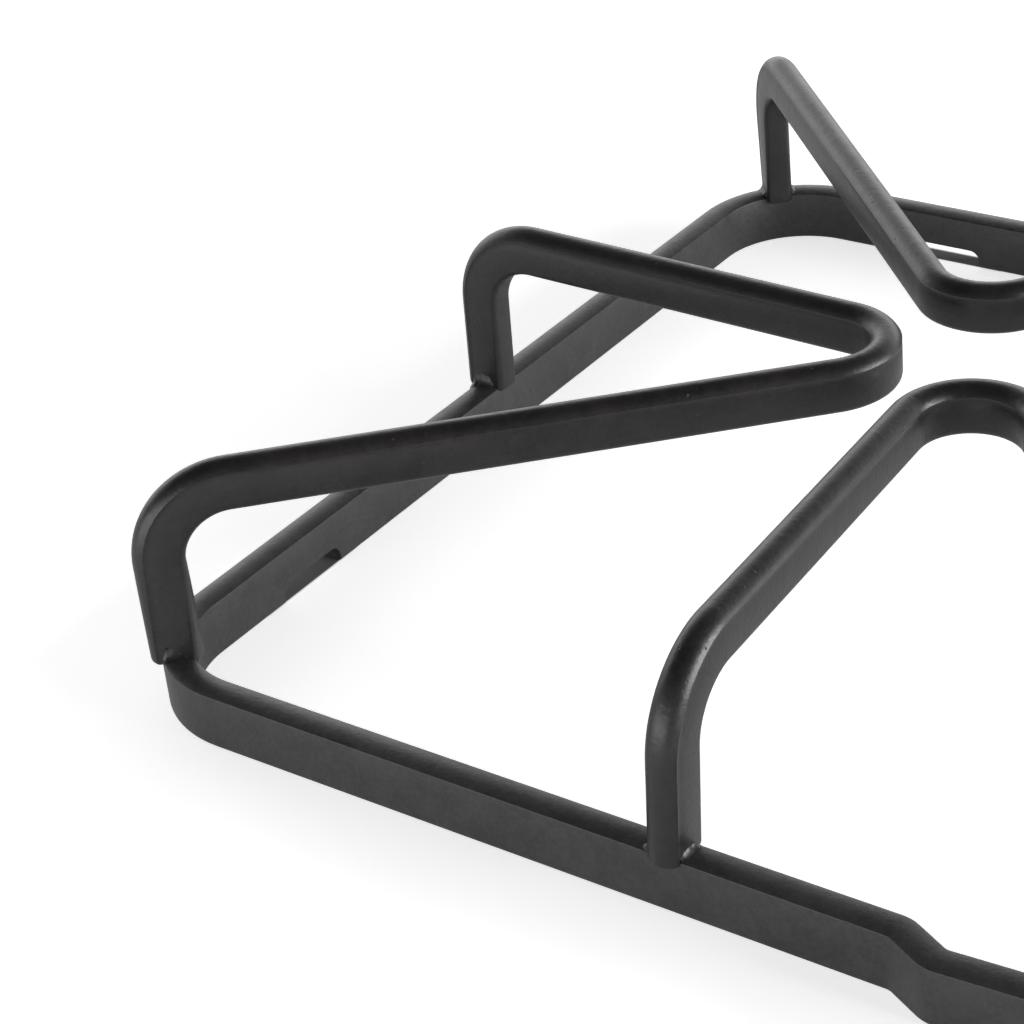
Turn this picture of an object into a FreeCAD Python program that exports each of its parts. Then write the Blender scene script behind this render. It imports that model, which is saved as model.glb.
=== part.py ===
# Burner grate: a square of flat bar on edge, and four bent fingers of domed bar welded on it.
# Millimetres. The grate stands on z = 0, its middle is the origin, and the side with the step faces -Y.
import FreeCAD, Part
import math
import os
import Sketcher

V = FreeCAD.Vector

# Driving sizes, each with what it measures
SIZES = (
    ("half_side", 108, "middle of the grate to the frame's outer face"),
    ("frame_height", 10, "flat bar of the frame, on edge"),
    ("frame_thickness", 5.5, "flat bar of the frame, across"),
    ("edge_radius", 0.8, "rolled long edges of the flat bar"),
    ("corner_radius", 22.5, "outer face round a corner of the frame"),
    ("step_clear", 2.5, "straight bar between the step and the near right corner's bend"),
    ("step_length", 46, "stepped stretch, from where the bar leaves the side's line to its return"),
    ("step_out", 4.4, "how far the stretch stands out"),
    ("step_angle", 32, "turn of the bar at each bend of the step, degrees"),
    ("step_bend", 4.5, "radius of those bends, at the middle of the bar"),
    ("notch_clear", 17.5, "straight bar between a notch and the bend of the corner by it"),
    ("notch_length", 16, "notch in the lower edge, along the side"),
    ("notch_height", 3.6, "notch, above the table"),
    ("notch_radius", 2.4, "upper corners of the notch"),
    ("notch_edge", 0.5, "broken edge round the notch"),
    ("grate_height", 45, "table to the crowns of the fingers"),
    ("finger_width", 5.3, "domed bar, across"),
    ("finger_depth", 8.5, "domed bar, from its crown to its flat"),
    ("dome_rise", 1.7, "crown above the creases"),
    ("crease_depth", 0.3, "shallow groove between the dome and a side, into the bar"),
    ("crease_height", 0.6, "the same groove, down the side"),
    ("flat_radius", 0.9, "rounded corners of the bar's flat"),
    ("leg_bend", 17.6, "crown round the bend between an arm and its leg"),
    ("nose_bend", 11.2, "crown round the bend between the two arms"),
    ("tip_ahead", 2.3, "where the arms' crown lines cross, past the middle of the grate"),
    ("left_tip_aside", -1.2, "the same point of the left finger, toward the back"),
    ("left_middle_set", 2.3, "middle foot of the left finger, from the middle of its side"),
    ("tip_aside", 1.7, "the crossing point of the other fingers, to their own back"),
    ("middle_set", -4, "middle foot of the other fingers, from the middle of its side"),
    ("foot_lap", 2, "crown of a leg beyond the frame's outer face"),
    ("foot_drop", 2.7, "rounded end of a leg, below the frame's top"),
    ("foot_shoulder", 0.15, "radius of that round end, above half the bar's width"),
    ("weld_leg", 2.4, "weld beside a foot, up the leg and along the frame"),
    ("weld_hollow", 3.8, "radius of the weld's hollow face"),
    ("weld_inset", 0.9, "ends of the weld, in from the frame's faces"),
)

# Fingers clockwise from the left side, a quarter turn apart, with the names of their two settings
FINGERS = (
    ("finger_left", "left_tip_aside", "left_middle_set"),
    ("finger_back", "tip_aside", "middle_set"),
    ("finger_right", "tip_aside", "middle_set"),
    ("finger_front", "tip_aside", "middle_set"),
)

# Expressions of the sheet that several sketches share
FRAME_MIDDLE = "(sizes.half_side - sizes.frame_thickness / 2)"
FOOT_BOTTOM = "(sizes.frame_height - sizes.foot_drop)"
BEND_HEIGHT = "(sizes.grate_height - sizes.leg_bend)"
HALF_WIDTH = "(sizes.finger_width / 2)"
STRAIGHT_END = "(sizes.half_side - sizes.corner_radius)"
NOTCH_END = f"({STRAIGHT_END} - sizes.notch_clear)"

# How a sketch numbers the places of a piece, and its own root point and axes
START, END, CENTRE = range(1, 4)
UPRIGHT_AXIS, LEVEL_AXIS = range(-2, 0)
ORIGIN = LEVEL_AXIS

# Two places nearer than this are the same
CLOSE = 0.01

doc = FreeCAD.newDocument("burner_grate")
sheet = doc.addObject("Spreadsheet::Sheet", "sizes")
for row, (alias, value, meaning) in enumerate(SIZES, start=1):
    sheet.set(f"A{row}", meaning)
    sheet.set(f"B{row}", str(value))
    sheet.setAlias(f"B{row}", alias)
doc.recompute()


# Small helpers for bodies and sketches

def evaluate(owner, *expressions):
    """Numbers that expressions of the sheet have now, for the first drawing of a sketch."""
    results = [owner.evalExpression(expression) for expression in expressions]
    numbers = [float(getattr(result, "Value", result)) for result in results]
    return numbers if len(numbers) > 1 else numbers[0]


def origin_feature(body, role):
    return next(feature for feature in body.Origin.OriginFeatures if feature.Role == role)


def new_body(name):
    body = doc.addObject("PartDesign::Body", name)
    body.Label = name
    return body


def new_sketch(body, name, plane):
    sketch = body.newObject("Sketcher::SketchObject", name)
    sketch.AttachmentSupport = [(origin_feature(body, plane), "")]
    sketch.MapMode = "FlatFace"
    return sketch


def new_feature(body, kind, name, sketch, **settings):
    """Feature of a body made from a sketch."""
    feature = body.newObject(f"PartDesign::{kind}", name)
    feature.Profile = sketch
    for key, setting in settings.items():
        setattr(feature, key, setting)
    return feature


def constrain(sketch, kind, *where):
    sketch.addConstraint(Sketcher.Constraint(kind, *where))


def dimension(sketch, name, kind, *where, to):
    """Named dimension of a sketch, tied to an expression of the sheet."""
    first = evaluate(sketch, to)
    if kind == "Angle":
        first = math.radians(first)
    index = sketch.addConstraint(Sketcher.Constraint(kind, *where, first))
    sketch.renameConstraint(index, name)
    sketch.setExpression(f"Constraints.{name}", to)


def place(sketch, name, piece, end, x, y):
    """Fix a point of a sketch at two expressions of the sheet."""
    dimension(sketch, f"{name}_x", "DistanceX", ORIGIN, START, piece, end, to=x)
    dimension(sketch, f"{name}_y", "DistanceY", ORIGIN, START, piece, end, to=y)


def join(sketch, first, second, kind="Coincident"):
    """Join two pieces of a sketch where they were drawn to meet."""
    ends = [(a, b) for a in (START, END) for b in (START, END)]
    gaps = [sketch.getPoint(first, a).distanceToPoint(sketch.getPoint(second, b)) for a, b in ends]
    a, b = ends[gaps.index(min(gaps))]
    constrain(sketch, kind, first, a, second, b)


def bent_outline(*corners):
    """Closed run of straight lines and tangent arcs through corners given as (x, y, radius)."""
    points = [V(x, y, 0) for x, y, radius in corners]
    bends = []
    for i, (x, y, radius) in enumerate(corners):
        back = (points[i - 1] - points[i]).normalize()
        ahead = (points[(i + 1) % len(points)] - points[i]).normalize()
        half = back.getAngle(ahead) / 2
        reach = radius / math.tan(half)
        depth = radius / math.sin(half) - radius
        middle = points[i] + (back + ahead).normalize() * depth if radius else points[i]
        bends.append((points[i] + back * reach, middle, points[i] + ahead * reach))
    pieces = []
    for i, (start, middle, end) in enumerate(bends):
        if corners[i][2]:
            pieces.append(Part.Arc(start, middle, end))
        pieces.append(Part.LineSegment(end, bends[(i + 1) % len(bends)][0]))
    return pieces


# Frame: one flat bar on edge, bent round four corners, and out and in again at the step

def draw_frame_path(sketch):
    """Middle line of the bar, from the middle of the left side round by the near left corner."""
    corner = "(sizes.corner_radius - sizes.frame_thickness / 2)"
    rejoin = f"({STRAIGHT_END} - sizes.step_clear)"
    leave = f"({rejoin} - sizes.step_length)"
    run = "sizes.step_bend * tan(sizes.step_angle / 2)"
    side, radius, bend, out = evaluate(sketch, FRAME_MIDDLE, corner, "sizes.step_bend", "sizes.step_out")
    first, last = evaluate(sketch, f"{leave} + {run}", f"{rejoin} - {run}")
    slope = evaluate(sketch, "sizes.step_out / tan(sizes.step_angle)")
    sketch.addGeometry(bent_outline(
        (-side, 0, 0),
        (-side, -side, radius),
        (first, -side, bend),
        (first + slope, -side - out, bend),
        (last - slope, -side - out, bend),
        (last, -side, bend),
        (side, -side, radius),
        (side, side, radius),
        (-side, side, radius),
    ), False)
    (left_near, near_left, front, leaving, outward, turning, stretch, returning, inward, rejoining,
     front_rest, near_right, right, far_right, back, far_left, left_far) = range(17)
    for piece in range(left_near, left_far):
        join(sketch, piece, piece + 1, "Tangent")
    join(sketch, left_far, left_near)
    for piece in (front, stretch, front_rest, back):
        constrain(sketch, "Horizontal", piece)
    for piece in (left_near, right, left_far):
        constrain(sketch, "Vertical", piece)
    for piece in (near_right, far_right, far_left):
        constrain(sketch, "Equal", near_left, piece)
    for piece in (turning, returning, rejoining):
        constrain(sketch, "Equal", leaving, piece)
    constrain(sketch, "PointOnObject", left_near, START, LEVEL_AXIS)
    dimension(sketch, "corner", "Radius", near_left, to=corner)
    dimension(sketch, "bend", "Radius", leaving, to="sizes.step_bend")
    dimension(sketch, "left_side", "DistanceX", left_near, START, ORIGIN, START, to=FRAME_MIDDLE)
    dimension(sketch, "right_side", "DistanceX", ORIGIN, START, right, START, to=FRAME_MIDDLE)
    dimension(sketch, "back_side", "DistanceY", ORIGIN, START, back, START, to=FRAME_MIDDLE)
    dimension(sketch, "front_side", "DistanceY", front, START, ORIGIN, START, to=FRAME_MIDDLE)
    dimension(sketch, "front_rest", "DistanceY", front_rest, START, ORIGIN, START, to=FRAME_MIDDLE)
    dimension(sketch, "step_out", "DistanceY", stretch, START, front, END, to="sizes.step_out")
    dimension(sketch, "leave", "DistanceX", ORIGIN, START, front, END, to=leave)
    dimension(sketch, "rejoin", "DistanceX", ORIGIN, START, front_rest, START, to=rejoin)
    dimension(sketch, "turn_out", "Angle", outward, to="-sizes.step_angle")
    dimension(sketch, "turn_in", "Angle", inward, to="sizes.step_angle")


def draw_frame_section(sketch):
    """Flat bar standing on the table, with its long edges rolled round."""
    outer, thick, tall, edge = evaluate(
        sketch, "sizes.half_side", "sizes.frame_thickness", "sizes.frame_height", "sizes.edge_radius"
    )
    inner = thick - outer
    sketch.addGeometry(bent_outline(
        (-outer, 0, edge),
        (inner, 0, edge),
        (inner, tall, edge),
        (-outer, tall, edge),
    ), False)
    edges = range(0, sketch.GeometryCount, 2)
    bottom, inside, top, outside = range(1, sketch.GeometryCount, 2)
    for piece in range(sketch.GeometryCount):
        join(sketch, piece, (piece + 1) % sketch.GeometryCount, "Tangent")
    for piece in (bottom, top):
        constrain(sketch, "Horizontal", piece)
    for piece in (inside, outside):
        constrain(sketch, "Vertical", piece)
    for piece in edges[1:]:
        constrain(sketch, "Equal", edges[0], piece)
    constrain(sketch, "PointOnObject", bottom, START, LEVEL_AXIS)
    dimension(sketch, "edge", "Radius", edges[0], to="sizes.edge_radius")
    dimension(sketch, "outer_face", "DistanceX", outside, START, ORIGIN, START, to="sizes.half_side")
    dimension(sketch, "thickness", "DistanceX", outside, START, inside, START, to="sizes.frame_thickness")
    dimension(sketch, "height", "DistanceY", bottom, START, top, START, to="sizes.frame_height")


def draw_notch(sketch):
    """Notch of the left side, in a plane where the level axis runs toward the back."""
    start, length, tall, corner = evaluate(
        sketch, NOTCH_END, "sizes.notch_length", "sizes.notch_height", "sizes.notch_radius"
    )
    low, high = -start, length - start
    sketch.addGeometry(bent_outline(
        (low, 0, 0),
        (high, 0, 0),
        (high, tall, corner),
        (low, tall, corner),
    ), False)
    bottom, far_end, far_corner, top, near_corner, near_end = range(6)
    join(sketch, bottom, far_end)
    join(sketch, near_end, bottom)
    for piece in (far_end, far_corner, top, near_corner):
        join(sketch, piece, piece + 1, "Tangent")
    constrain(sketch, "Horizontal", bottom)
    constrain(sketch, "Horizontal", top)
    constrain(sketch, "Vertical", far_end)
    constrain(sketch, "Vertical", near_end)
    constrain(sketch, "Equal", far_corner, near_corner)
    constrain(sketch, "PointOnObject", bottom, START, LEVEL_AXIS)
    dimension(sketch, "corner", "Radius", far_corner, to="sizes.notch_radius")
    dimension(sketch, "near", "DistanceX", bottom, START, ORIGIN, START, to=NOTCH_END)
    dimension(sketch, "length", "DistanceX", bottom, START, bottom, END, to="sizes.notch_length")
    dimension(sketch, "height", "DistanceY", bottom, START, top, START, to="sizes.notch_height")


def notch_edges(shape):
    """Edges of the two notches that lie in a face of the bar, above its lower edge."""
    end, length, tall, outer, inner = evaluate(
        sheet, NOTCH_END, "sizes.notch_length", "sizes.notch_height",
        "sizes.half_side", "sizes.half_side - sizes.frame_thickness",
    )
    names = []
    for number, edge in enumerate(shape.Edges, start=1):
        centre = edge.CenterOfMass
        across, along = max(-centre.x, centre.y), min(-centre.x, centre.y)
        in_face = min(abs(across - outer), abs(across - inner)) < CLOSE
        in_notch = end - length - CLOSE < abs(along) < end + CLOSE and centre.z < tall + CLOSE
        if in_face and in_notch and centre.x < 0 and edge.BoundBox.ZMin > CLOSE:
            names.append(f"Edge{number}")
    return names


def make_frame():
    body = new_body("frame")
    path = new_sketch(body, "frame_path", "XY_Plane")
    draw_frame_path(path)
    section = new_sketch(body, "frame_section", "XZ_Plane")
    draw_frame_section(section)
    bar = new_feature(body, "AdditivePipe", "frame_bar", section, Spine=(path, []))

    outline = new_sketch(body, "notch_outline", "YZ_Plane")
    draw_notch(outline)
    notch = new_feature(body, "Pocket", "notch", outline, Type="ThroughAll")
    doc.recompute()
    if notch.Shape.Volume > bar.Shape.Volume - CLOSE:
        raise ValueError("the notch cuts nothing")
    notches = body.newObject("PartDesign::PolarPattern", "notches")
    notches.Originals = [notch]
    notches.Axis = (origin_feature(body, "Z_Axis"), [""])
    notches.Angle = 90
    notches.Occurrences = 2
    notches.Reversed = True
    body.Tip = notches
    doc.recompute()

    broken = body.newObject("PartDesign::Fillet", "notch_edges")
    broken.Base = (notches, notch_edges(notches.Shape))
    broken.setExpression("Radius", "sizes.notch_edge")
    body.Tip = broken
    return body


# Fingers: one length of domed bar each, with two arms, two legs and three bends

def make_layout(name, aside, middle_set):
    """Directions and lengths of a finger's arms, worked out in plan from its two feet and its tip."""
    corner = "(sizes.half_side - sizes.corner_radius + (sizes.corner_radius + sizes.foot_lap) * cos(45))"
    ahead = f"(sizes.tip_ahead + {corner})"
    up = f"(sizes.{aside} + {corner})"
    across = "(sizes.tip_ahead + sizes.half_side + sizes.foot_lap)"
    back = f"(sizes.{aside} - sizes.{middle_set})"
    layout = doc.addObject("App::VarSet", f"{name}_layout")
    for key, kind, expression in (
        ("corner_angle", "Angle", f"atan2({up}; {ahead})"),
        ("middle_angle", "Angle", f"atan2({back}; {across})"),
        ("half_angle", "Angle", "(corner_angle - middle_angle) / 2"),
        ("heading", "Angle", "180deg + (corner_angle + middle_angle) / 2"),
        ("corner_reach", "Float", f"hypot({up}; {ahead}) - sizes.nose_bend / tan(half_angle)"),
        ("middle_reach", "Float", f"hypot({back}; {across}) - sizes.nose_bend / tan(half_angle)"),
        ("nose_x", "Float", "sizes.tip_ahead + sizes.nose_bend / sin(half_angle) * cos(heading)"),
        ("nose_y", "Float", f"sizes.{aside} + sizes.nose_bend / sin(half_angle) * sin(heading)"),
    ):
        layout.addProperty(f"App::Property{kind}", key, "Layout", "")
        layout.setExpression(key, expression)
    doc.recompute()
    return layout.Name


def draw_bar_section(sketch, across, crown):
    """Domed bar, its crown at the given place: dome, shallow creases, sides, and a flat with round corners."""
    x, y, half, depth, dome, dent, drop, corner = evaluate(
        sketch, across, crown, HALF_WIDTH, "sizes.finger_depth", "sizes.dome_rise",
        "sizes.crease_depth", "sizes.crease_height", "sizes.flat_radius",
    )
    outline = bent_outline(
        (x + half, y - dome, 0),
        (x + half - dent, y - dome - drop / 2, 0),
        (x + half, y - dome - drop, 0),
        (x + half, y - depth, corner),
        (x - half, y - depth, corner),
        (x - half, y - dome - drop, 0),
        (x - half + dent, y - dome - drop / 2, 0),
        (x - half, y - dome, 0),
    )
    outline[-1] = Part.Arc(V(x + half, y - dome), V(x, y), V(x - half, y - dome))
    sketch.addGeometry(outline, False)
    dip, lift, side, turn, flat, other_turn, other_side, other_lift, other_dip, arch = range(10)
    for piece in (dip, lift, other_side, other_lift, other_dip):
        join(sketch, piece, piece + 1)
    join(sketch, arch, dip)
    for piece in (side, turn, flat, other_turn):
        join(sketch, piece, piece + 1, "Tangent")
    constrain(sketch, "Vertical", side)
    constrain(sketch, "Vertical", other_side)
    constrain(sketch, "Horizontal", flat)
    constrain(sketch, "Horizontal", dip, START, other_dip, END)
    constrain(sketch, "Horizontal", dip, END, other_dip, START)
    constrain(sketch, "Horizontal", lift, END, other_lift, START)
    constrain(sketch, "Vertical", dip, START, lift, END)
    constrain(sketch, "Vertical", other_dip, END, other_lift, START)
    constrain(sketch, "Equal", turn, other_turn)
    dome_radius = f"({HALF_WIDTH} ^ 2 + sizes.dome_rise ^ 2) / (2 * sizes.dome_rise)"
    dimension(sketch, "corner", "Radius", turn, to="sizes.flat_radius")
    dimension(sketch, "dome", "Radius", arch, to=dome_radius)
    place(sketch, "crease", dip, START, f"{across} + {HALF_WIDTH}", f"{crown} - sizes.dome_rise")
    dimension(sketch, "width", "DistanceX", other_dip, END, dip, START, to="sizes.finger_width")
    dimension(sketch, "dent", "DistanceX", dip, END, dip, START, to="sizes.crease_depth")
    dimension(sketch, "other_dent", "DistanceX", other_dip, END, other_dip, START, to="sizes.crease_depth")
    dimension(sketch, "groove", "DistanceY", lift, END, dip, START, to="sizes.crease_height")
    dimension(sketch, "half_groove", "DistanceY", dip, END, dip, START, to="sizes.crease_height / 2")
    dimension(sketch, "depth", "DistanceY", flat, START, dip, START, to="sizes.finger_depth - sizes.dome_rise")


def draw_foot_cut(sketch, across):
    """What is cut away below a leg to leave its end round."""
    radius = f"({HALF_WIDTH} + sizes.foot_shoulder)"
    middle, wide, low = evaluate(sketch, across, radius, FOOT_BOTTOM)
    right, left, level = middle + wide, middle - wide, low + wide
    outline = bent_outline(
        (right, level, 0),
        (right + wide, level, 0),
        (right + wide, low - wide, 0),
        (left - wide, low - wide, 0),
        (left - wide, level, 0),
        (left, level, 0),
    )
    outline[-1] = Part.Arc(V(left, level), V(middle, low), V(right, level))
    sketch.addGeometry(outline, False)
    ledge, wall, floor, other_wall, other_ledge, round_end = range(6)
    for piece in range(sketch.GeometryCount):
        join(sketch, piece, (piece + 1) % sketch.GeometryCount)
    for piece in (ledge, floor, other_ledge):
        constrain(sketch, "Horizontal", piece)
    for piece in (wall, other_wall):
        constrain(sketch, "Vertical", piece)
    for end in (START, END):
        constrain(sketch, "Horizontal", round_end, end, round_end, CENTRE)
    dimension(sketch, "round", "Radius", round_end, to=radius)
    place(sketch, "centre", round_end, CENTRE, across, f"{FOOT_BOTTOM} + {radius}")
    dimension(sketch, "spare", "DistanceX", ledge, START, ledge, END, to=radius)
    dimension(sketch, "other_spare", "DistanceX", other_ledge, START, other_ledge, END, to=radius)
    dimension(sketch, "depth", "DistanceY", wall, END, wall, START, to=f"2 * {radius}")


def draw_welds(sketch, across):
    """Weld metal on each side of a leg, up its side face and along the frame's top."""
    leg, round_face, top = evaluate(sketch, "sizes.weld_leg", "sizes.weld_hollow", "sizes.frame_height")
    chord = leg * math.sqrt(2)
    sag = round_face - math.sqrt(round_face ** 2 - chord ** 2 / 4)
    inward = (chord / 2 - sag) / math.sqrt(2)
    for name, sense in (("right", 1), ("left", -1)):
        root_x = f"{across} + {sense} * {HALF_WIDTH}"
        root = V(evaluate(sketch, root_x), top)
        toe = root + V(sense * leg, 0)
        upper = root + V(0, leg)
        first = sketch.GeometryCount
        sketch.addGeometry([
            Part.LineSegment(root, toe),
            Part.Arc(toe, root + V(sense * inward, inward), upper),
            Part.LineSegment(upper, root),
        ], False)
        base, face, side = range(first, first + 3)
        for piece, after in ((base, face), (face, side), (side, base)):
            join(sketch, piece, after)
        constrain(sketch, "Horizontal", base)
        constrain(sketch, "Vertical", side)
        constrain(sketch, "Equal", base, side)
        place(sketch, f"{name}_root", base, START, root_x, "sizes.frame_height")
        dimension(sketch, f"{name}_leg", "Distance", base, to="sizes.weld_leg")
        dimension(sketch, f"{name}_hollow", "Radius", face, to="sizes.weld_hollow")


def stand_across(sketch, layout, side, out="0"):
    """Turn an upright sketch to face along an arm, and set it some way out from the nose's centre."""
    sketch.AttachmentOffset = FreeCAD.Placement(V(), FreeCAD.Rotation(V(0, 1, 0), 1))
    sketch.setExpression("AttachmentOffset.Rotation.Angle", f"{side} * (90deg + {layout}.half_angle)")
    sketch.setExpression("AttachmentOffset.Base.x", f"({out}) * cos({layout}.half_angle)")
    sketch.setExpression("AttachmentOffset.Base.z", f"{-side} * ({out}) * sin({layout}.half_angle)")


def lay_level(sketch, layout, side, height):
    """Turn a level sketch so that its upright axis points out along an arm, and lift it."""
    sketch.AttachmentOffset = FreeCAD.Placement(V(), FreeCAD.Rotation(V(0, 0, 1), 1))
    sketch.setExpression("AttachmentOffset.Rotation.Angle", f"{side} * {layout}.half_angle - 90deg")
    sketch.setExpression("AttachmentOffset.Base.z", height)


def add_arm(body, name, layout, side, with_nose):
    """One arm with its bend, its leg, the leg's round end and its welds. The nose joins both arms."""
    reach = f"{layout}.{name}_reach"
    prefix = f"{body.Name}_{name}"
    arm_section = new_sketch(body, f"{prefix}_arm_section", "XZ_Plane")
    stand_across(arm_section, layout, side)
    draw_bar_section(arm_section, "sizes.nose_bend", "sizes.grate_height")
    arm = new_feature(body, "Pad", f"{prefix}_arm", arm_section, Reversed=side < 0)
    arm.setExpression("Length", f"{reach} - sizes.leg_bend")
    if with_nose:
        nose = new_feature(body, "Revolution", f"{body.Name}_nose", arm_section)
        nose.ReferenceAxis = (arm_section, ["V_Axis"])
        nose.setExpression("Angle", f"180deg - 2 * {layout}.half_angle")

    leg_section = new_sketch(body, f"{prefix}_leg_section", "XY_Plane")
    lay_level(leg_section, layout, side, BEND_HEIGHT)
    draw_bar_section(leg_section, f"-{side} * sizes.nose_bend", reach)
    axis = leg_section.addGeometry(Part.LineSegment(V(0, 0), V(1, 0)), True)
    constrain(leg_section, "Horizontal", axis)
    constrain(leg_section, "PointOnObject", axis, START, UPRIGHT_AXIS)
    dimension(leg_section, "axis", "DistanceY", ORIGIN, START, axis, START, to=f"{reach} - sizes.leg_bend")
    dimension(leg_section, "axis_length", "Distance", axis, to="sizes.leg_bend")
    bend = new_feature(body, "Revolution", f"{prefix}_bend", leg_section, Angle=90)
    bend.ReferenceAxis = (leg_section, ["Axis0"])
    leg = new_feature(body, "Pad", f"{prefix}_leg", leg_section, Reversed=True)
    leg.setExpression("Length", f"{BEND_HEIGHT} - {FOOT_BOTTOM}")

    foot_outline = new_sketch(body, f"{prefix}_foot_outline", "XZ_Plane")
    stand_across(foot_outline, layout, side, f"{reach} - sizes.finger_depth / 2")
    draw_foot_cut(foot_outline, "sizes.nose_bend")
    foot = new_feature(body, "Pocket", f"{prefix}_foot", foot_outline, Midplane=True)
    foot.setExpression("Length", "2 * sizes.finger_depth")

    weld_outline = new_sketch(body, f"{prefix}_weld_outline", "XZ_Plane")
    stand_across(weld_outline, layout, side, f"{reach} - sizes.foot_lap - sizes.frame_thickness / 2")
    draw_welds(weld_outline, "sizes.nose_bend")
    welds = new_feature(body, "Pad", f"{prefix}_welds", weld_outline, Midplane=True)
    welds.setExpression("Length", "sizes.frame_thickness - 2 * sizes.weld_inset")


def make_finger(turns, name, aside, middle_set, frame):
    """A finger, with its feet coped to sit over the frame's bar."""
    layout = make_layout(name, aside, middle_set)
    body = new_body(f"{name}_bar")
    add_arm(body, "corner", layout, 1, True)
    add_arm(body, "middle", layout, -1, False)
    body.Placement = FreeCAD.Placement(V(), FreeCAD.Rotation(V(0, 0, 1), 1))
    turn = f"{-90 * turns}deg"
    x, y = f"{layout}.nose_x", f"{layout}.nose_y"
    body.setExpression("Placement.Rotation.Angle", f"{layout}.heading + {turn}")
    body.setExpression("Placement.Base.x", f"{x} * cos({turn}) - {y} * sin({turn})")
    body.setExpression("Placement.Base.y", f"{x} * sin({turn}) + {y} * cos({turn})")
    finger = doc.addObject("Part::Cut", name)
    finger.Label = name
    finger.Base = body
    finger.Tool = frame
    return finger


frame = make_frame()
pieces = [frame] + [make_finger(turns, *finger, frame) for turns, finger in enumerate(FINGERS)]
doc.recompute()

for item in doc.Objects:
    if "Invalid" in item.State or "Error" in item.State:
        raise ValueError(f"{item.Label} failed: {item.State}")
for piece in pieces:
    if piece.Shape.isNull() or not piece.Shape.isValid():
        raise ValueError(f"{piece.Label} has no valid shape")

os.makedirs("parts", exist_ok=True)
for piece in pieces:
    piece.Shape.exportStep(f"parts/{piece.Label}.step")
    print(piece.Label, len(piece.Shape.Solids), "solid", round(piece.Shape.Volume), "mm3")
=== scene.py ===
# %% [markdown]
# # A burner grate
#
# The object is a small square grate from a gas hob. Flat bar on edge is bent into a square frame,
# and four fingers of domed bar are bent, stood on the frame and welded to it. Then the whole
# grate is coated with black enamel. The construction comes ready made as five solids. This script
# bends the five bars again, with the small departures that one real grate has from its drawing,
# gives them their coat, and sets up the camera and the light.

# %% Start
from math import asin, ceil, cos, degrees, pi, radians, sin, tan
from random import Random

import bmesh
import bpy
from mathutils import Matrix, Vector


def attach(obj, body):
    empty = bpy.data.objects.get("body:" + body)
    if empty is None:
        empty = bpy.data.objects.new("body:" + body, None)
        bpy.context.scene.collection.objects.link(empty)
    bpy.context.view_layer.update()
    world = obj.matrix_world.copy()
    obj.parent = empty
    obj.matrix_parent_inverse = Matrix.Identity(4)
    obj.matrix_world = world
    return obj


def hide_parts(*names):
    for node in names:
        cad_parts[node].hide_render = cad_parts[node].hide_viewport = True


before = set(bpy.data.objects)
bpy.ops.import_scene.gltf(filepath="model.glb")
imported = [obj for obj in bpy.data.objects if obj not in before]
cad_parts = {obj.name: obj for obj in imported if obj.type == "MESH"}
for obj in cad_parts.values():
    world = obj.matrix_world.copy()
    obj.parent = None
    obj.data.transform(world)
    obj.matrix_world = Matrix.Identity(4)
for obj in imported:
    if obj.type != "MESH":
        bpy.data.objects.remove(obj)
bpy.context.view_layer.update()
MM = 0.001
print("nodes:", sorted(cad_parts))

# %% [markdown]
# ## Camera
#
# The photograph is a close crop: the middle of the grate lies near the picture's right edge, so
# only the left half shows. The camera stands in front of the grate and to its right, looks down
# at 31 degrees, and is rolled by 6 degrees. A rotation matrix whose columns are the camera's
# right, up and backward directions says this directly, and is easier to check than three Euler
# angles.

# %% Camera
AZIMUTH, ELEVATION, ROLL = 38, 30.76, -6.04
AIM = Vector((-69.36, -43.13, 14.65)) * MM
DISTANCE = 477.7 * MM
SENSOR_WIDTH, FOCAL_LENGTH = 36, 95.74


def add_aimed(name, data, target, azimuth, elevation, distance, roll=0):
    """Add a camera or lamp that looks at a target from a distance and a direction in degrees."""
    azimuth, elevation, roll = (radians(angle) for angle in (azimuth, elevation, roll))
    level = Vector((sin(azimuth), -cos(azimuth), 0))
    backward = level * cos(elevation) + Vector((0, 0, sin(elevation)))
    right = Vector((cos(azimuth), sin(azimuth), 0))
    up = backward.cross(right)
    right, up = right * cos(roll) + up * sin(roll), up * cos(roll) - right * sin(roll)
    turn = Matrix((right, up, backward)).transposed().to_4x4()
    holder = bpy.data.objects.new(name, data)
    holder.matrix_world = Matrix.Translation(target + backward * distance) @ turn
    bpy.context.scene.collection.objects.link(holder)
    return holder


lens = bpy.data.cameras.new("camera")
lens.sensor_width, lens.lens = SENSOR_WIDTH, FOCAL_LENGTH
lens.clip_start = 0.01
camera = add_aimed("camera", lens, AIM, AZIMUTH, ELEVATION, DISTANCE, ROLL)
bpy.context.scene.camera = camera
print("camera at", [round(value / MM) for value in camera.matrix_world.translation], "mm")

# %% [markdown]
# ## Writing materials as expressions
#
# A material is a tree of nodes, and a tree is slow to read in code that makes and links each node
# by hand. Blender has no shorthand for it, so this small class wraps one output socket. Python's
# own signs then add the Math nodes, and one method adds a node of any other kind: its settings
# first, because some settings change which sockets it has.

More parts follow.
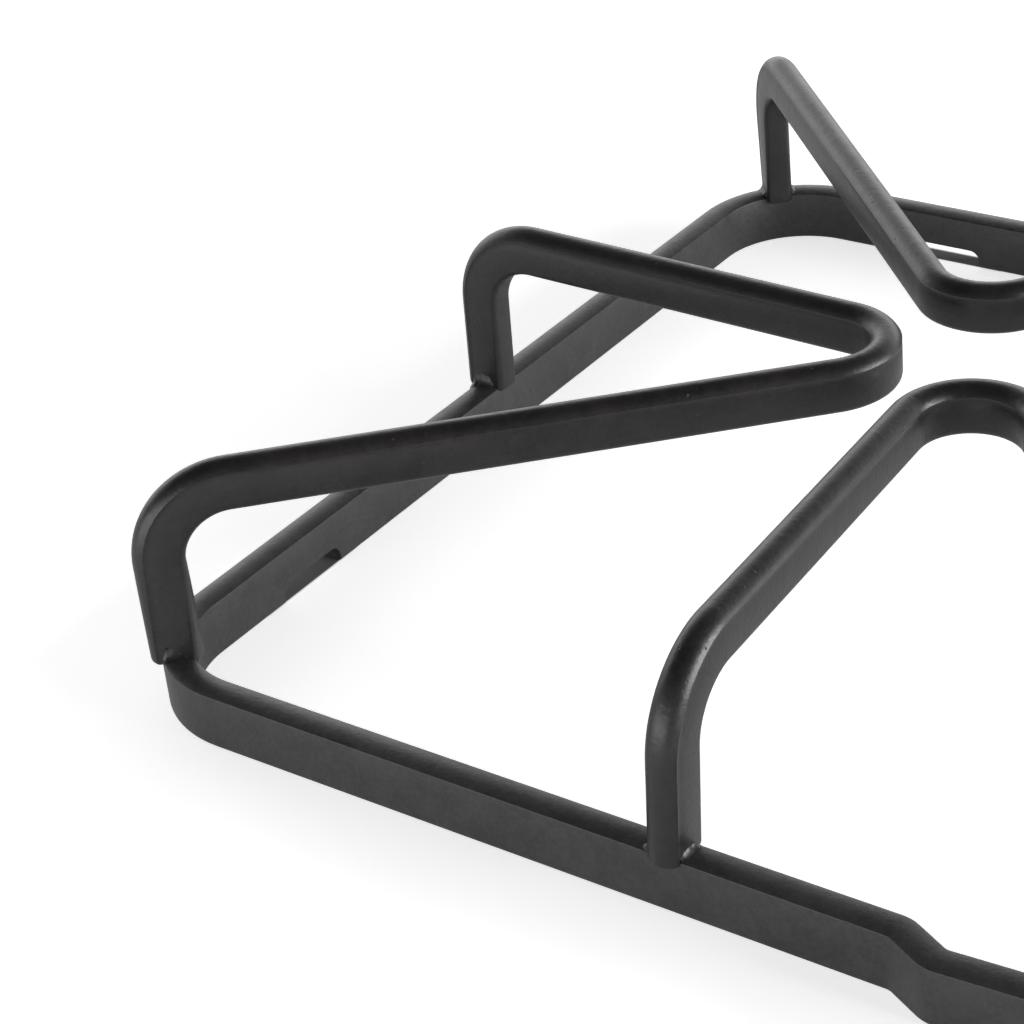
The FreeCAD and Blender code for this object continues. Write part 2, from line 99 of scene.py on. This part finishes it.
# %% Shader helper
class Wire:
    """One output socket of a material's tree, or a colour or number on its way through it."""

    def __init__(self, tree, socket):
        self.tree = tree
        self.socket = socket

    def node(self, kind, settings=None, output=0, **inputs):
        """Add a node and return its output.

        Inputs are named by their sockets, with _ for a blank, or by their numbers as in0, in1.
        """
        made = self.tree.nodes.new(f"ShaderNode{kind}")
        for name, setting in (settings or {}).items():
            setattr(made, name, setting)
        for name, value in inputs.items():
            numbered = name[:2] == "in" and name[2:].isdigit()
            target = made.inputs[int(name[2:]) if numbered else name.replace("_", " ")]
            if isinstance(value, Wire):
                self.tree.links.new(value.socket, target)
            else:
                target.default_value = value
        return Wire(self.tree, made.outputs[output])

    def math(self, operation, *values):
        inputs = {f"in{place}": value for place, value in enumerate(values)}
        return self.node("Math", {"operation": operation}, **inputs)

    def __add__(self, other):
        return self.math("ADD", self, other)

    def __sub__(self, other):
        return self.math("SUBTRACT", self, other)

    def __rsub__(self, other):
        return self.math("SUBTRACT", other, self)

    def __mul__(self, other):
        return self.math("MULTIPLY", self, other)

    __radd__ = __add__
    __rmul__ = __mul__

    def between(self, low, high):
        """0 where the value is at low, 1 where it is at high, smooth in between."""
        smooth = {"interpolation_type": "SMOOTHSTEP"}
        return self.node("MapRange", smooth, Value=self, From_Min=low, From_Max=high)

    def blend(self, first, second):
        """Colour that goes from the first to the second as the value goes from 0 to 1."""
        return self.node("Mix", {"data_type": "RGBA"}, output=2, in0=self, in6=first, in7=second)

    def noise(self, scale, detail, roughness=0.5):
        """Noise at these places, with so many humps in a millimetre."""
        return self.node("TexNoise", Vector=self, Scale=scale, Detail=detail, Roughness=roughness)

    def axis(self, number):
        """One coordinate of a vector."""
        return self.node("SeparateXYZ", output=number, Vector=self)


def grey(level):
    return (level, level, level, 1)


def new_material(name):
    """New material, its Principled shader, and a wire with places on the object in mm."""
    material = bpy.data.materials.new(name)
    material.use_nodes = True
    tree = material.node_tree
    shader = tree.nodes["Principled BSDF"]
    start = Wire(tree, None)
    place = start.node("TexCoord", output=3)
    return material, shader, place.node("VectorMath", {"operation": "SCALE"}, in0=place, Scale=1 / MM)


def drive(shader, **wires):
    """Link wires to the shader's sockets."""
    for name, wire in wires.items():
        wire.tree.links.new(wire.socket, shader.inputs[name.replace("_", " ")])


print("shader helper ready")

# %% [markdown]
# ## Black enamel
#
# Enamel is glass melted on to steel. It isn't an even black: it flows while it is soft, so its
# gloss is broken by a fine orange peel, and it is thicker in some places than in others, which
# shows as faint brown and grey clouds. Small bubbles leave pores. Each of these is one pattern at
# its real scale, read in object coordinates, so they stay on the metal from every side. The
# height pattern goes through a Bump node and not into the mesh, because its hills are only
# hundredths of a millimetre high.

# %% Enamel
GLASS_IOR = 1.5


def make_enamel(name, dark, light, gloss, peel):
    """Black enamel between two colours, of a mean roughness, its orange peel so many mm high."""
    material, shader, place = new_material(name)
    clouds = place.noise(0.055, 3.0, 0.6)
    patches = place.noise(0.3, 4.0, 0.65)
    grain = place.noise(1.1, 2.0)
    specks = place.noise(3.2, 1.0)
    bubbles = place.node("TexVoronoi", {"feature": "F1"}, Vector=place, Scale=0.42, Randomness=1.0)
    few = place.noise(0.12, 0.0)
    pores = (1 - bubbles.between(0.05, 0.13)) * few.between(0.52, 0.6)
    mottle = clouds * 0.4 + patches * 0.3 + grain * 0.3
    drive(
        shader,
        Base_Color=mottle.between(0.36, 0.66).blend(dark, light),
        Roughness=patches * 0.16 + specks * 0.10 + (gloss - 0.13) + pores * 0.2,
    )
    height = grain * peel + specks * (peel * 0.35) + patches * (peel * 1.6) - pores * 0.06
    drive(shader, Normal=height.node("Bump", Height=height, Distance=MM, Strength=1.0))
    shader.inputs["IOR"].default_value = GLASS_IOR
    return material


# The whole grate has one black enamel, made twice here in two brightnesses. The frame's copy is painted
# lighter, as painted light for its paler faces. The fingers' copy is painted darker, as painted shade for
# their dark domes. The mottle between each copy's two colours is the enamel's own uneven tone.
enamel_frame_painted_light = make_enamel(
    "enamel_frame_painted_light", (0.021, 0.020, 0.021, 1), (0.042, 0.040, 0.041, 1), 0.46, 0.05
)
enamel_finger = make_enamel(
    "enamel_finger", (0.006, 0.005, 0.006, 1), (0.014, 0.012, 0.013, 1), 0.40, 0.045
)
print("coats:", enamel_frame_painted_light.name, enamel_finger.name)

# %% [markdown]
# ## Bending a bar
#
# Every piece of the grate is one bar of a constant section with bends in it. It could be a curve
# with a bevel object, but a curve gives no say over its ends or over the rings in its bends. The
# class below does what the workshop does: it holds the section's ring of edges at the bar's front
# end, pushes it straight ahead, or turns it round a die. A push is one extrusion and a turn is
# one spin. `follow` takes the corners of the bar's line with the radius of each bend, and works
# out the pushes and turns between them.

# %% Bar bender
def arc(x, y, radius, first, last, steps):
    """Points of a section on an arc, its angles in degrees."""
    angles = [radians(first + (last - first) * step / steps) for step in range(steps + 1)]
    return [(x + radius * cos(angle), y + radius * sin(angle)) for angle in angles]


def dome(half, rise, steps):
    """Points of a shallow arc over a width, its crown at 0."""
    radius = (half ** 2 + rise ** 2) / (2 * rise)
    spread = degrees(asin(half / radius))
    return arc(0, -radius, radius, 90 - spread, 90 + spread, steps)


class Bender:
    """A bar in the making: its mesh so far, and the place, heading and crown direction of its front end."""

    DEGREES_PER_RING = 4

    def __init__(self, section, start, heading, crown, shape=None):
        self.shape = shape or bmesh.new()
        self.at, self.heading = start, heading.normalized()
        self.crown = (crown - self.heading * crown.dot(self.heading)).normalized()
        across = self.heading.cross(self.crown)
        self.ring = [self.shape.verts.new(start + across * x + self.crown * y) for x, y in section]
        pairs = zip(self.ring, self.ring[1:] + self.ring[:1])
        self.edges = [self.shape.edges.new(pair) for pair in pairs]
        self.first = self.edges

    def take_ring(self, geometry):
        """Make new geometry the front end."""
        self.ring = [item for item in geometry if isinstance(item, bmesh.types.BMVert)]
        known = set(self.ring)
        edges = [item for item in geometry if isinstance(item, bmesh.types.BMEdge)]
        self.edges = [edge for edge in edges if known.issuperset(edge.verts)]

    def push(self, length):
        made = bmesh.ops.extrude_edge_only(self.shape, edges=self.edges)
        self.take_ring(made["geom"])
        bmesh.ops.translate(self.shape, vec=self.heading * length, verts=self.ring)
        self.at = self.at + self.heading * length

    def turn(self, toward, radius, angle):
        centre, axis = self.at + toward * radius, self.heading.cross(toward)
        front = self.ring + self.edges
        steps = ceil(degrees(angle) / self.DEGREES_PER_RING)
        made = bmesh.ops.spin(
            self.shape, geom=front, cent=centre, axis=axis, angle=angle, steps=steps
        )
        self.take_ring(made["geom_last"])
        rotation = Matrix.Rotation(angle, 3, axis)
        self.at = centre + rotation @ (self.at - centre)
        self.heading, self.crown = rotation @ self.heading, rotation @ self.crown

    def follow(self, *corners):
        """Go round corners given as (point, radius) and stop at the last point."""
        for (corner, radius), (after, _) in zip(corners, corners[1:]):
            ahead = (after - corner).normalized()
            angle = self.heading.angle(ahead)
            self.push((corner - self.at).length - radius * tan(angle / 2))
            toward = (ahead - self.heading * ahead.dot(self.heading)).normalized()
            self.turn(toward, radius, angle)
        self.push((corners[-1][0] - self.at).length)

    def resize(self, wide, tall, middle=0.0):
        """Scale the front end about a point below or above its own place."""
        across = self.heading.cross(self.crown)
        axes = Matrix((across, self.crown, self.heading)).transposed().to_4x4()
        space = Matrix.Translation(self.at + self.crown * middle) @ axes
        bmesh.ops.scale(self.shape, vec=(wide, tall, 1), space=space.inverted(), verts=self.ring)

    def twist(self, length, angle, steps, middle):
        """Push ahead while the bar turns about its own middle line."""
        rotation = Matrix.Rotation(angle / steps, 3, self.heading)
        for _ in range(steps):
            self.push(length / steps)
            pivot = self.at + self.crown * middle
            bmesh.ops.rotate(self.shape, cent=pivot, matrix=rotation, verts=self.ring)
            self.at = pivot + rotation @ (self.at - pivot)
            self.crown = rotation @ self.crown

    def close(self):
        for edges in (self.first, self.edges):
            bmesh.ops.contextual_create(self.shape, geom=edges)


def add_piece(name, shape, coat, node, sharp):
    """Turn a shape in millimetres into a finished object that stands for a node of the construction."""
    bmesh.ops.scale(shape, vec=(MM,) * 3, verts=shape.verts)
    bmesh.ops.recalc_face_normals(shape, faces=shape.faces)
    mesh = bpy.data.meshes.new(name)
    shape.to_mesh(mesh)
    shape.free()
    mesh.shade_smooth()
    mesh.set_sharp_from_angle(angle=radians(sharp))
    mesh.materials.append(coat)
    piece = bpy.data.objects.new(name, mesh)
    bpy.context.scene.collection.objects.link(piece)
    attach(piece, "root")
    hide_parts(node)
    print(name, "has", len(mesh.polygons), "faces")
    return piece


print("bender ready")

# %% [markdown]
# ## Frame
#
# The frame is flat bar on edge. Its upper edge is rolled slightly round, which makes the near
# half of it dark and the far half light, and its lower edge has rounded corners. Its line leaves
# the front side at the step: out at a slope, along a stretch that leans back a little, and in
# again before the corner. The two notches in the lower edge are cut by a boolean, and last every
# crisp edge is broken by a small bevel, because enamel draws back from a sharp edge.

# %% Frame
HALF_SIDE, THICKNESS, SIDE_TOP, CROWN_RISE = 108, 5.2, 10.2, 0.5
CORNER, EDGE = 22.5, 0.8
STEP_LEAVE, STEP_REJOIN, STEP_OUT, STEP_BEND = 38.8, 83, 3.7, 4.5
STEP_SLOPE, STEP_LEAN = radians(27), radians(4)
NOTCH_MIDDLE, NOTCH_LENGTH, NOTCH_HEIGHT, NOTCH_CORNER = 60, 16, 3.6, 2.4
BROKEN_EDGE, SHARP = 0.15, 40
UP = Vector((0, 0, 1))


def frame_section():
    half = THICKNESS / 2
    crown = [(x, y + SIDE_TOP + CROWN_RISE) for x, y in dome(half, CROWN_RISE, 8)]
    one, other = arc(EDGE - half, EDGE, EDGE, 180, 270, 5), arc(half - EDGE, EDGE, EDGE, 270, 360, 5)
    return crown + one + other


def frame_corners():
    """Middle line of the bar, from the middle of the left side round by the near left corner."""
    side, bend = HALF_SIDE - THICKNESS / 2, CORNER - THICKNESS / 2
    run, slope, lean = STEP_BEND * tan(STEP_SLOPE / 2), 1 / tan(STEP_SLOPE), tan(STEP_LEAN)
    first, last = STEP_LEAVE + run, STEP_REJOIN - run
    begin = first + STEP_OUT * slope
    long = (last - first - 2 * STEP_OUT * slope) / (1 - lean * slope)
    plan = (
        (-side, -side, bend),
        (first, -side, STEP_BEND),
        (begin, -side - STEP_OUT, STEP_BEND),
        (begin + long, -side - STEP_OUT + long * lean, STEP_BEND),
        (last, -side, STEP_BEND),
        (side, -side, bend),
        (side, side, bend),
        (-side, side, bend),
        (-side, 0, 0),
    )
    return [(Vector((x, y, 0)), radius) for x, y, radius in plan]


def notch_cutter():
    """Two blocks with rounded tops, for the notches in the left side and in the back."""
    shape = bmesh.new()
    for quarter in (0, -1):
        before = set(shape.verts)
        cube = bmesh.ops.create_cube(shape, size=1)["verts"]
        bmesh.ops.scale(shape, vec=(4 * THICKNESS, NOTCH_LENGTH, 2 * NOTCH_HEIGHT), verts=cube)
        crosswise = [edge for edge in shape.edges if edge.verts[0].co.y == edge.verts[1].co.y]
        top = [
            edge for edge in crosswise if all(vert in cube and vert.co.z > 0 for vert in edge.verts)
        ]
        bmesh.ops.bevel(
            shape, geom=top, offset=NOTCH_CORNER, segments=8, profile=0.5,
            affect="EDGES", material=-1,
        )
        block = [vert for vert in shape.verts if vert not in before]
        bmesh.ops.translate(shape, vec=(THICKNESS / 2 - HALF_SIDE, -NOTCH_MIDDLE, 0), verts=block)
        quarter_turn = Matrix.Rotation(quarter * pi / 2, 3, "Z")
        bmesh.ops.rotate(shape, cent=(0, 0, 0), matrix=quarter_turn, verts=block)
    bmesh.ops.scale(shape, vec=(MM,) * 3, verts=shape.verts)
    mesh = bpy.data.meshes.new("notch_cutter")
    shape.to_mesh(mesh)
    shape.free()
    cutter = bpy.data.objects.new("notch_cutter", mesh)
    bpy.context.scene.collection.objects.link(cutter)
    return cutter


def cut(piece, cutter):
    """Cut one object from another and keep the result as plain mesh."""
    boolean = piece.modifiers.new("cut", "BOOLEAN")
    boolean.operation, boolean.solver, boolean.object = "DIFFERENCE", "EXACT", cutter
    evaluated = piece.evaluated_get(bpy.context.evaluated_depsgraph_get())
    mesh = bpy.data.meshes.new_from_object(evaluated)
    piece.modifiers.clear()
    piece.data = mesh
    bpy.data.objects.remove(cutter)


def break_edges(piece, width, sharp):
    """Bevel every edge at which the surface turns by more than an angle."""
    shape = bmesh.new()
    shape.from_mesh(piece.data)
    solid = [edge for edge in shape.edges if edge.is_manifold]
    crisp = [edge for edge in solid if edge.calc_face_angle() > radians(sharp)]
    bmesh.ops.bevel(
        shape, geom=crisp, offset=width * MM, segments=3, profile=0.5,
        affect="EDGES", material=-1,
    )
    shape.to_mesh(piece.data)
    shape.free()
    piece.data.shade_smooth()
    piece.data.set_sharp_from_angle(angle=radians(sharp))
    print(piece.name, "has", len(crisp), "broken edges and", len(piece.data.polygons), "faces")


corners = frame_corners()
bar = Bender(frame_section(), corners[-1][0], Vector((0, -1, 0)), UP)
bar.follow(*corners)
bmesh.ops.remove_doubles(bar.shape, verts=bar.shape.verts, dist=0.001)
grate_frame = add_piece("grate_frame", bar.shape, enamel_frame_painted_light, "frame", SHARP)
cut(grate_frame, notch_cutter())
break_edges(grate_frame, BROKEN_EDGE, SHARP)

# %% [markdown]
# ## Fingers
#
# A finger starts as a domed bar: a round crown, a shallow crease on each side of it, flat sides
# and a flat back. It goes up from a corner of the frame, over to the middle, round the nose, and
# back and down to the middle of a side. The crown stays outside in the legs' bends and on top in
# the arms, as the bender's rotation does by itself. The bar's ends are cut square, and the
# grinder and the enamel have rounded them. The legs of a real grate don't stand quite upright,
# and the bender has twisted two of them, so each foot has its own small shift. A weld fills the
# corner on each side of a foot: one bead with ripples, whose size follows a seeded random draw.

# %% Fingers
WIDTH, DEPTH, DOME_RISE = 5.4, 8.8, 1.7
CREASE_IN, CREASE_TALL, FLAT_CORNER = 0.14, 1.1, 1.1
TOP, LEG_BEND, NOSE_BEND, LAP = 45.3, 17.6, 11.2, 2.0
END_ROUND, END_STEPS, TWIST_STEPS = 0.9, 4, 12
WELD, WELD_RINGS, WELD_HOLLOW, WELD_ROOT = 2.5, 15, 0.84, 0.25
WELD_START, RIPPLE, UNEVEN = 0.3, 0.05, 0.03
TIP_AHEAD = 2.3

# Name, quarter turns, tip's offset, middle foot's offset, heights of the two ends, shifts of
# the two feet in plan, and the twist of the corner leg in degrees
FINGERS = (
    ("left", 0, -1.2, 2.3, (8.6, 9.5), ((0.2, 0), (-0.8, 0)), 18),
    ("back", 1, 1.7, -4.4, (9.1, 9.5), ((0.5, 0.5), (0, 0)), 5),
    ("right", 2, 1.7, -4.4, (8.9, 9.5), ((0, 0), (0, 0)), 0),
    ("front", 3, 1.7, -4.4, (8.9, 9.4), ((0, 0), (-1.75, 0)), 0),
)


def finger_section():
    half, corner = WIDTH / 2, FLAT_CORNER
    crease = [(half - CREASE_IN, -DOME_RISE - CREASE_TALL / 2), (half, -DOME_RISE - CREASE_TALL)]
    other_crease = [(-x, y) for x, y in crease]
    one = arc(corner - half, corner - DEPTH, corner, 180, 270, 4)
    other = arc(half - corner, corner - DEPTH, corner, 270, 360, 4)
    return dome(half, DOME_RISE, 14) + other_crease + one + other + crease[::-1]


def round_end(bar, opening):
    """Rings of a rounded end, from small to full or from full to small."""
    angles = [step * pi / 2 / END_STEPS for step in range(END_STEPS + 1)]
    insets = [END_ROUND * (1 - sin(angle)) for angle in angles]
    places = [END_ROUND * (1 - cos(angle)) for angle in angles]
    order = range(END_STEPS + 1) if opening else range(END_STEPS, -1, -1)
    for before, after in zip(order, list(order)[1:]):
        bar.push(abs(places[after] - places[before]))
        halves = (WIDTH / 2, DEPTH / 2)
        ratios = [(half - insets[after]) / (half - insets[before]) for half in halves]
        bar.resize(*ratios, -DEPTH / 2)


def weld_section():
    """Hollow corner fillet of size 1, its root a little inside the metal."""
    steps = 6
    hollow = [(1 - step / steps, step / steps) for step in range(steps + 1)]
    hollow = [(x - WELD_HOLLOW * x * y, y - WELD_HOLLOW * x * y) for x, y in hollow]
    return [(-WELD_ROOT, -WELD_ROOT), (1, -WELD_ROOT)] + hollow + [(-WELD_ROOT, 1)]


def add_weld(shape, foot, outward, sense, random):
    """Bead in the corner between one side of a leg and the frame's top."""
    heading = outward * -sense
    away = heading.cross(UP)
    long = THICKNESS - 0.3
    middle = foot - outward * (LAP + THICKNESS / 2)
    start = Vector((middle.x, middle.y, SIDE_TOP)) + away * (WIDTH / 2) - heading * (long / 2)
    small = [(x * WELD * WELD_START, y * WELD * WELD_START) for x, y in weld_section()]
    bead = Bender(small, start, heading, UP, shape)
    size, phase = WELD_START, random.uniform(0, 2 * pi)
    for ring in range(1, WELD_RINGS):
        swell = 1 - (2 * ring / (WELD_RINGS - 1) - 1) ** 4
        ripple = RIPPLE * sin(phase + ring * 1.4) + random.uniform(-UNEVEN, UNEVEN)
        after = (WELD_START + (1 - WELD_START) * swell) * (1 + ripple)
        bead.push(long / (WELD_RINGS - 1))
        bead.resize(after / size, after / size)
        size = after
    bead.close()


def add_finger(name, quarters, aside, middle_set, ends, shifts, twist):
    turn = Matrix.Rotation(-quarters * pi / 2, 3, "Z")
    reach = HALF_SIDE - CORNER + (CORNER + LAP) * cos(pi / 4)
    tip = turn @ Vector((TIP_AHEAD, aside, TOP))
    corner_top = turn @ Vector((-reach, -reach, TOP))
    middle_top = turn @ Vector((-HALF_SIDE - LAP, middle_set, TOP))
    tops = [corner_top, middle_top]
    feet = [Vector((top.x + x, top.y + y, end)) for top, (x, y), end in zip(tops, shifts, ends)]
    outward = [(top - tip).normalized() for top in tops]
    heading = (tops[0] - feet[0]).normalized()
    inset = [1 - 2 * END_ROUND / size for size in (WIDTH, DEPTH)]
    small = [(x * inset[0], (y + DEPTH / 2) * inset[1] - DEPTH / 2) for x, y in finger_section()]
    turned = Matrix.Rotation(radians(-twist), 3, heading)
    centre = feet[0] - outward[0] * (DEPTH / 2)
    bar = Bender(small, centre + turned @ (feet[0] - centre), heading, turned @ outward[0])
    round_end(bar, True)
    straight = (tops[0] - feet[0]).length - LEG_BEND - 2 * END_ROUND
    bar.twist(straight, radians(twist), TWIST_STEPS, -DEPTH / 2)
    last = feet[1] + (tops[1] - feet[1]).normalized() * END_ROUND
    bar.follow((tops[0], LEG_BEND), (tip, NOSE_BEND), (tops[1], LEG_BEND), (last, 0))
    round_end(bar, False)
    bar.close()
    random = Random(f"weld_{name}")
    for foot, direction in zip(feet, outward):
        for sense in (1, -1):
            add_weld(bar.shape, foot, direction, sense, random)
    return add_piece(f"grate_finger_{name}", bar.shape, enamel_finger, f"finger_{name}", 35)


for finger in FINGERS:
    add_finger(*finger)

# %% [markdown]
# ## Floor
#
# The photograph has pure white all round the grate. A real floor can't be made white by more
# light without bleaching the grate too. So the floor is a pale matt plane, which takes the
# shadow, and the rays that look at it from the camera, or by way of a glossy surface, see it with
# a little light of its own on top. Only the strip under the bar, which shows through the notches,
# is left without it and painted dark grey: painted shade for the bar's shadow on a real floor.

# %% Floor
FLOOR_GLOW, MIRRORED_GLOW = 0.66, 0.28
FLOOR_HALF, NOTCH_ROOM = 3, 5


def make_floor_material():
    material, shader, place = new_material("floor_paper")
    fibre = place.noise(0.02, 4.0)
    x, y = (place.axis(number) for number in (0, 1))
    inner, half = HALF_SIDE - THICKNESS, NOTCH_LENGTH / 2 + NOTCH_ROOM
    left, back = (
        across.between(inner + 0.2, inner + 0.8)
        * (1 - across.between(HALF_SIDE - 1, HALF_SIDE))
        * along.between(-NOTCH_MIDDLE - half, 0.5 - NOTCH_MIDDLE - half)
        * (1 - along.between(half - NOTCH_MIDDLE - 0.5, half - NOTCH_MIDDLE))
        for across, along in ((0 - x, y), (y, x))
    )
    # Painted shade: the strip of floor under the bar, seen through the notches, is painted dark grey and
    # gets no glow.
    painted_shade_under_bar = left + back
    paper = fibre.blend(grey(0.83), grey(0.86))
    drive(shader, Base_Color=painted_shade_under_bar.blend(paper, grey(0.16)))
    shader.inputs["Roughness"].default_value = 0.9
    shader.inputs["Specular IOR Level"].default_value = 0.1
    rays = place.node("LightPath").socket.node.outputs
    direct, mirrored = (Wire(place.tree, rays[f"Is {kind} Ray"]) for kind in ("Camera", "Glossy"))
    seen = direct * FLOOR_GLOW + mirrored * MIRRORED_GLOW
    glow = place.node("Emission", Color=grey(1), Strength=seen * (1 - painted_shade_under_bar))
    both = place.node("AddShader", in0=Wire(place.tree, shader.outputs[0]), in1=glow)
    output = material.node_tree.nodes["Material Output"]
    material.node_tree.links.new(both.socket, output.inputs["Surface"])
    return material


mesh = bpy.data.meshes.new("floor")
shape = bmesh.new()
bmesh.ops.create_grid(shape, x_segments=1, y_segments=1, size=FLOOR_HALF)
shape.to_mesh(mesh)
shape.free()
floor = bpy.data.objects.new("floor", mesh)
bpy.context.scene.collection.objects.link(floor)
mesh.materials.append(make_floor_material())
print("floor is", floor.dimensions.x, "m wide")

# %% [markdown]
# ## Light
#
# Black enamel shows what it mirrors more than its own colour. In the photograph the domes are
# black where they mirror what is overhead, and pale at the noses, along their far sides and on
# the fingers that point at the camera, where they mirror what stands low behind the grate on its
# left, as a window would. Upright faces that look to the right are paler than the others. So the
# room is dark overhead and bright low at the back left, one large soft lamp stands low on the
# right, and a small lamp in front lights the front bar's face.

# %% Light
bpy.context.scene.view_settings.view_transform = "Standard"


def make_world(overhead, around, behind):
    """Grey room with a light overhead, one at the horizon, and one in a window at the back left."""
    world = bpy.data.worlds.new("studio")
    world.use_nodes = True
    tree = world.node_tree
    direction = Wire(tree, None).node("TexCoord", output=0)
    rise, aside, depth = (direction.axis(number) for number in (2, 0, 1))
    low = 1 - rise.between(0.25, 0.65)
    room = low.blend(grey(overhead), grey(around))
    window = (depth * 0.8 - aside * 0.6).between(0.2, 0.75)
    shade = (low * window).blend(room, grey(behind))
    tree.links.new(shade.socket, tree.nodes["Background"].inputs["Color"])
    bpy.context.scene.world = world
    print("room:", overhead, "overhead,", around, "around,", behind, "at the window")


def add_lamp(name, azimuth, elevation, distance, size, power):
    """Oblong area lamp that faces the grate's middle, its angles as the camera's."""
    lamp = bpy.data.lights.new(name, "AREA")
    lamp.shape = "RECTANGLE"
    lamp.size, lamp.size_y = size
    lamp.energy = power
    holder = add_aimed(name, lamp, Vector((0, 0, 0)), azimuth, elevation, distance)
    print(name, "at", [round(value, 2) for value in holder.matrix_world.translation], "m")


make_world(0.08, 0.26, 2.5)
add_lamp("lamp_right", 104, 12, 1.3, (1.0, 0.6), 34)
add_lamp("lamp_front", -16, 8, 0.55, (0.7, 0.15), 1.5)
